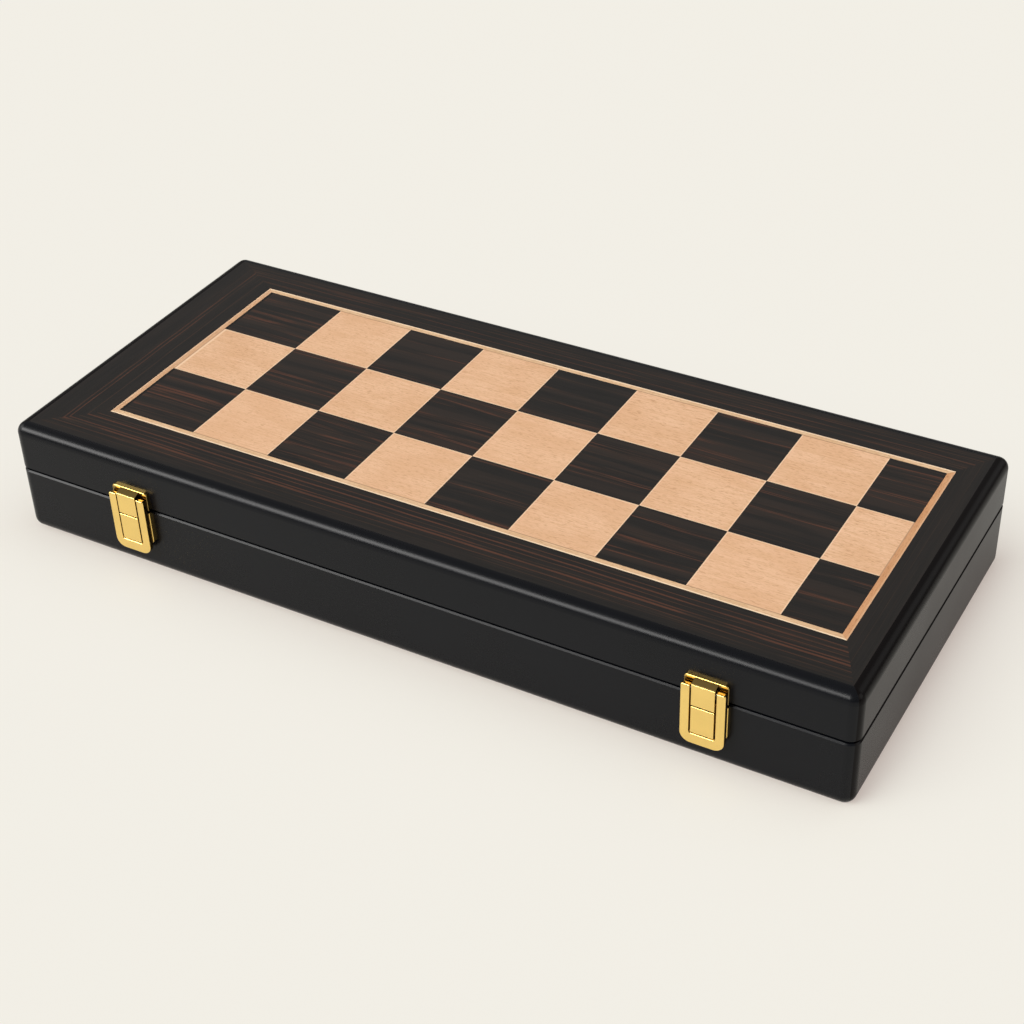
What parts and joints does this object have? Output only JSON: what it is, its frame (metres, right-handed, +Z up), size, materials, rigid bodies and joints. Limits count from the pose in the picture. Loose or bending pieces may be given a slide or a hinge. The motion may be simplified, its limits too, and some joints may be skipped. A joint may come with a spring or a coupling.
{
  "type": "folding chess case",
  "caption": "Flat wooden chess case with an inlaid checker field on its lid, back hinges and swing-frame front latches.",
  "frame": {"origin": "centre of the box's footprint, on the surface it stands on", "axes": "+X along the long side to the right seen from the front, -Y towards the front with the latches, +Z up through the lid"},
  "size_m": [0.48, 0.2206, 0.067],
  "materials": {
    "black_lacquer": "black satin lacquer on solid wood",
    "black_panel": "black lacquered plywood",
    "plywood": "raw birch plywood",
    "ebony_veneer": "streaked dark ebony veneer, satin varnish",
    "ebony_squares": "streaked dark ebony veneer, satin varnish",
    "maple_squares": "pale maple veneer, satin varnish",
    "maple_inlay": "pale maple stringing, satin varnish",
    "felt": "thin black felt",
    "hinge_brass": "drawn brass",
    "screw_brass": "countersunk brass",
    "latch_brass": "polished and lacquered brass",
    "pin_steel": "plain steel pin"
  },
  "bodies": {
    "base": {"base_back_wall": "black_lacquer", "base_bottom_panel": "black_panel", "base_felt_lining": "felt", "base_front_wall": "black_lacquer", "base_left_wall": "black_lacquer", "base_right_wall": "black_lacquer", "hinge_base_leaves": "hinge_brass", "hinge_base_screws": "screw_brass", "hinge_pins": "hinge_brass", "latch_catch_block_left": "latch_brass", "latch_catch_block_right": "latch_brass", "latch_catch_plate_left": "latch_brass", "latch_catch_plate_right": "latch_brass", "latch_catch_screws": "screw_brass"},
    "lid": {"hinge_lid_leaves": "hinge_brass", "hinge_lid_screws": "screw_brass", "latch_hinge_block_left": "latch_brass", "latch_hinge_block_right": "latch_brass", "latch_pin_left": "pin_steel", "latch_pin_right": "pin_steel", "latch_plate_left": "latch_brass", "latch_plate_right": "latch_brass", "latch_plate_screws": "screw_brass", "lid_back_wall": "black_lacquer", "lid_border_back": "ebony_veneer", "lid_border_front": "ebony_veneer", "lid_border_left": "ebony_veneer", "lid_border_right": "ebony_veneer", "lid_dark_squares": "ebony_squares", "lid_felt_lining": "felt", "lid_front_wall": "black_lacquer", "lid_inlay_back": "maple_inlay", "lid_inlay_front": "maple_inlay", "lid_inlay_left": "maple_inlay", "lid_inlay_right": "maple_inlay", "lid_left_wall": "black_lacquer", "lid_light_squares": "maple_squares", "lid_right_wall": "black_lacquer", "lid_top_panel": "plywood"},
    "latch_left": {"latch_frame_left": "latch_brass"},
    "latch_right": {"latch_frame_right": "latch_brass"}
  },
  "joints": [
    {"name": "lid_hinge", "type": "hinge", "parent": "base", "child": "lid", "pos_m": [0, 0.10765, 0.039], "axis": [-1, 0, 0], "range_deg": [0, 180]},
    {"name": "left_latch", "type": "hinge", "parent": "lid", "child": "latch_left", "pos_m": [-0.1625, -0.1086, 0.0458], "axis": [-1, 0, 0], "range_deg": [0, 100]},
    {"name": "right_latch", "type": "hinge", "parent": "lid", "child": "latch_right", "pos_m": [0.1675, -0.1086, 0.0458], "axis": [-1, 0, 0], "range_deg": [0, 100]}
  ]
}
